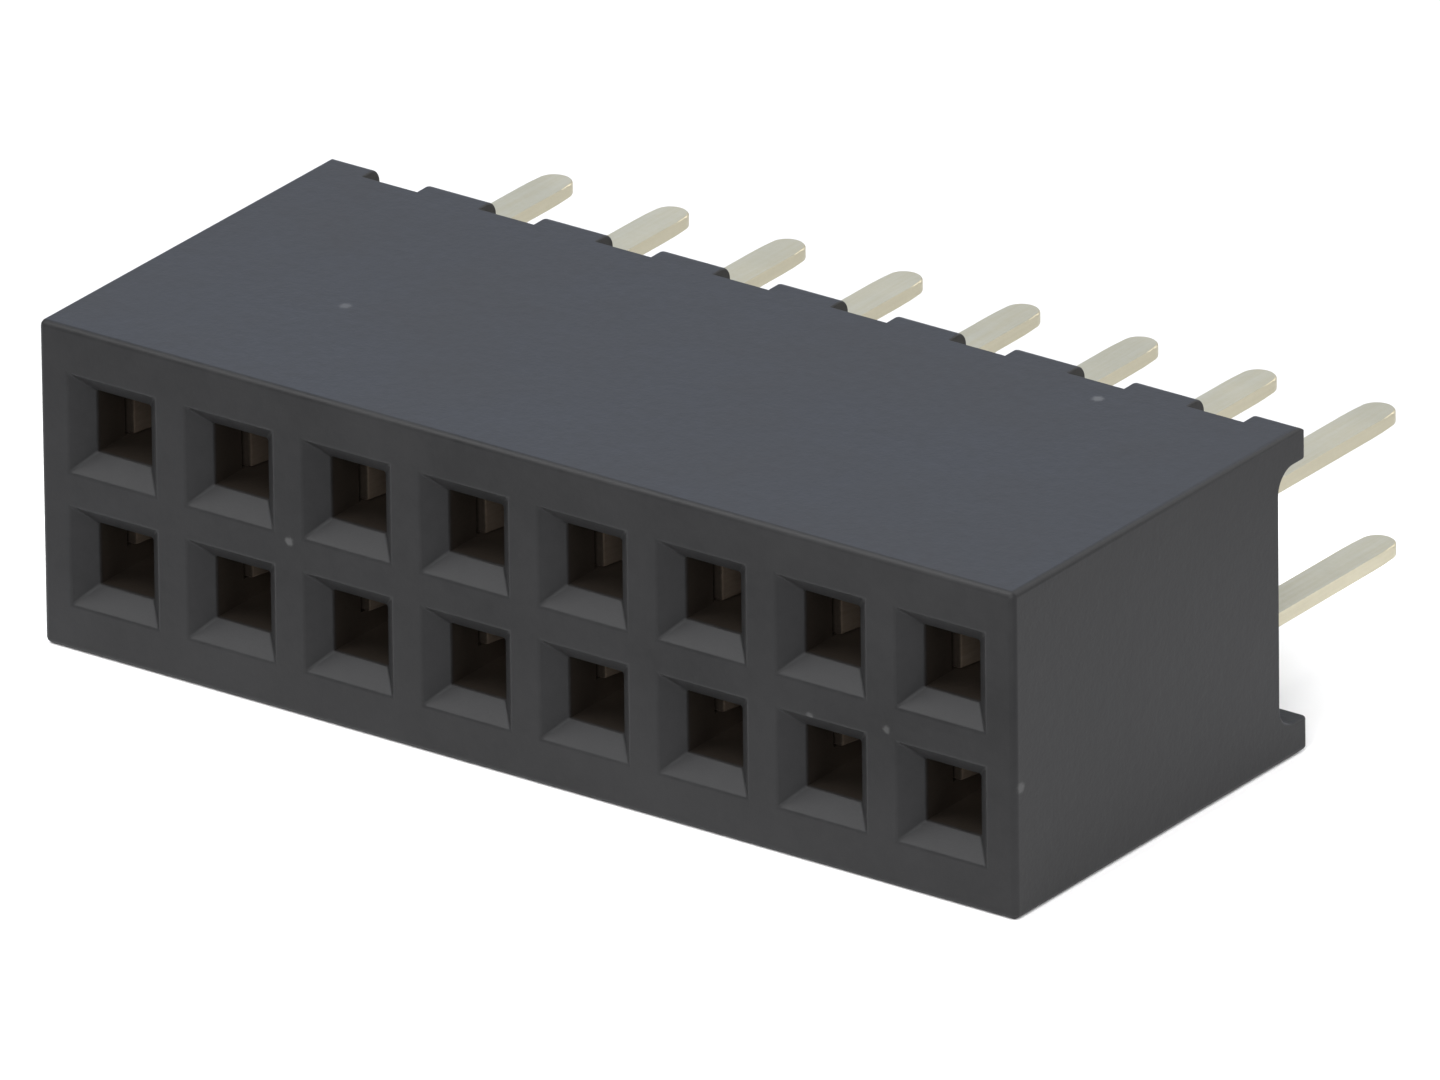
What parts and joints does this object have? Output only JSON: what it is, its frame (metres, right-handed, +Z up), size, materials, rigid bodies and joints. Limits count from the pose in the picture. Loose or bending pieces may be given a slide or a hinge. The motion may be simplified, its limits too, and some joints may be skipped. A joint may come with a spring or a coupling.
{
  "type": "female pin header",
  "caption": "Black moulded two-row socket strip with square funnel-mouthed pin wells in its front and flat solder tails at its back, plugging onto fine-pitch pins to join circuit boards.",
  "frame": {"origin": "middle of the whole footprint, on the surface the strip lies on", "axes": "+X along the rows, -Y out of the mating face, +Y along the solder tails, +Z up from the long side it lies on"},
  "size_m": [0.0104, 0.0068, 0.0031],
  "materials": {
    "housing": "black glass-filled thermoplastic, fine matte mould texture",
    "contact": "stamped copper alloy with a pale satin plating"
  },
  "bodies": {
    "root": {"housing": "housing", "contact_01": "contact", "contact_02": "contact", "contact_03": "contact", "contact_04": "contact", "contact_05": "contact", "contact_06": "contact", "contact_07": "contact", "contact_08": "contact", "contact_09": "contact", "contact_10": "contact", "contact_11": "contact", "contact_12": "contact", "contact_13": "contact", "contact_14": "contact", "contact_15": "contact", "contact_16": "contact"}
  },
  "joints": []
}
